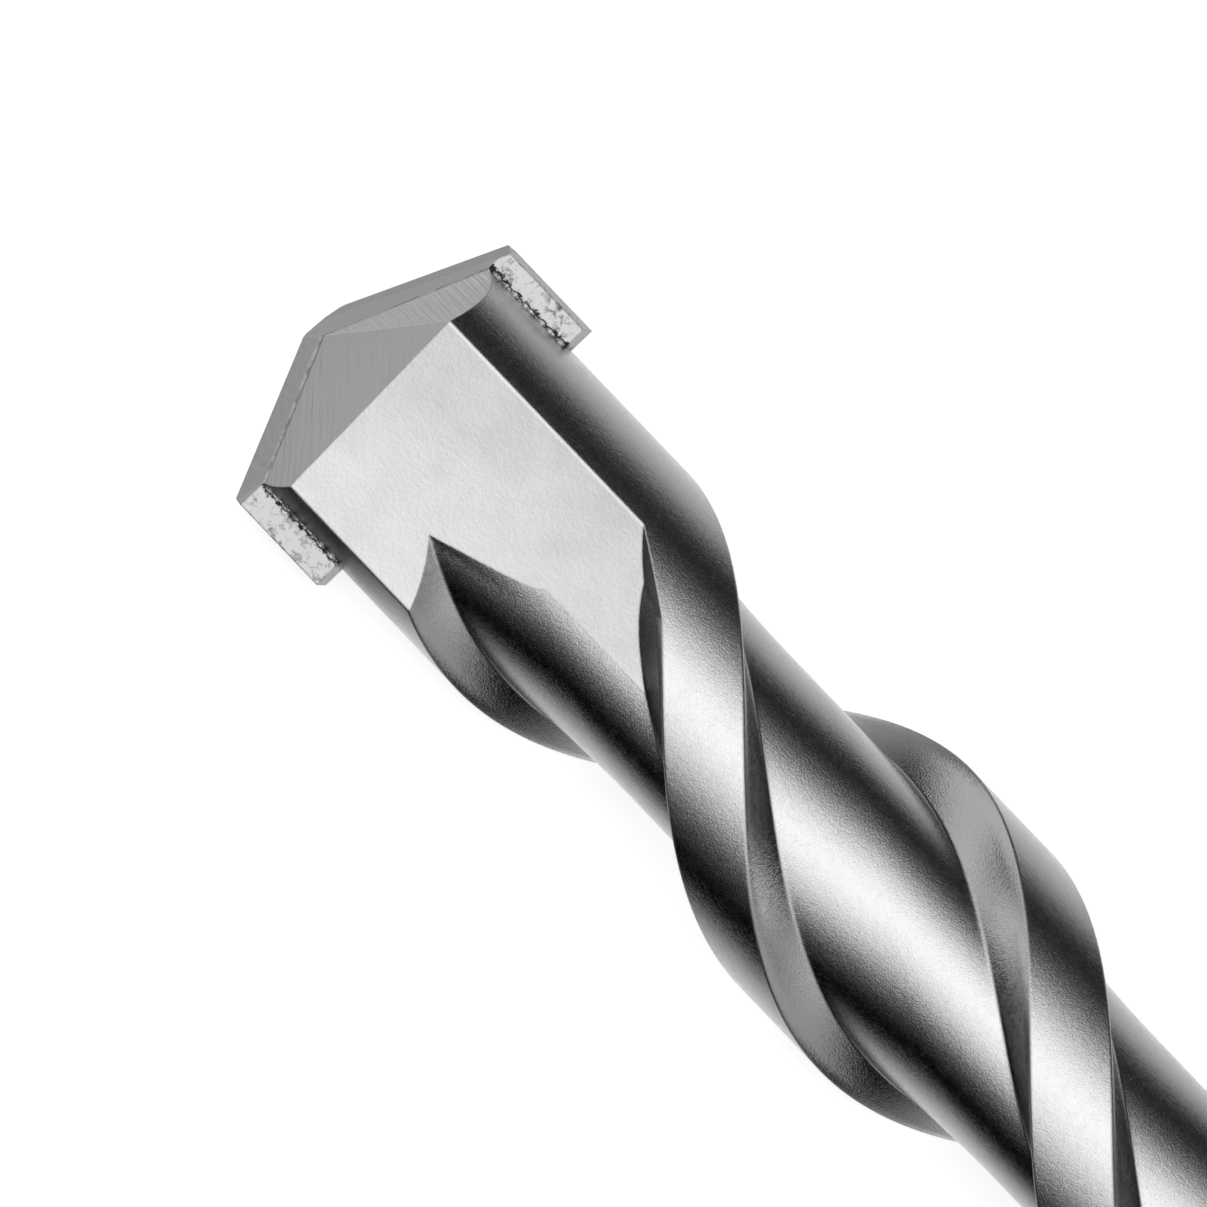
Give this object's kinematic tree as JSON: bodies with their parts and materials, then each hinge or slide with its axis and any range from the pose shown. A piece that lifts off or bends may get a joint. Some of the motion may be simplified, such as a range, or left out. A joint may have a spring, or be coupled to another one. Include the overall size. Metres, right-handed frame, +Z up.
{
  "type": "sds plus drill bit",
  "caption": "Hammer drill bit for masonry with a fluted steel body, slotted 10 mm shank and a carbide plate.",
  "frame": {"origin": "on the ground under the middle of the bit's length, below its axis", "axes": "+X along the bit towards the tip, +Z up, as it lies on its side"},
  "size_m": [0.16, 0.0136, 0.0137],
  "materials": {
    "steel": "bright tool steel, turned, milled and ground",
    "carbide": "sintered carbide with ground edges",
    "braze": "thin brazed seam"
  },
  "bodies": {
    "root": {"steel_body": "steel", "carbide_tip": "carbide", "braze_joint": "braze"}
  },
  "joints": []
}
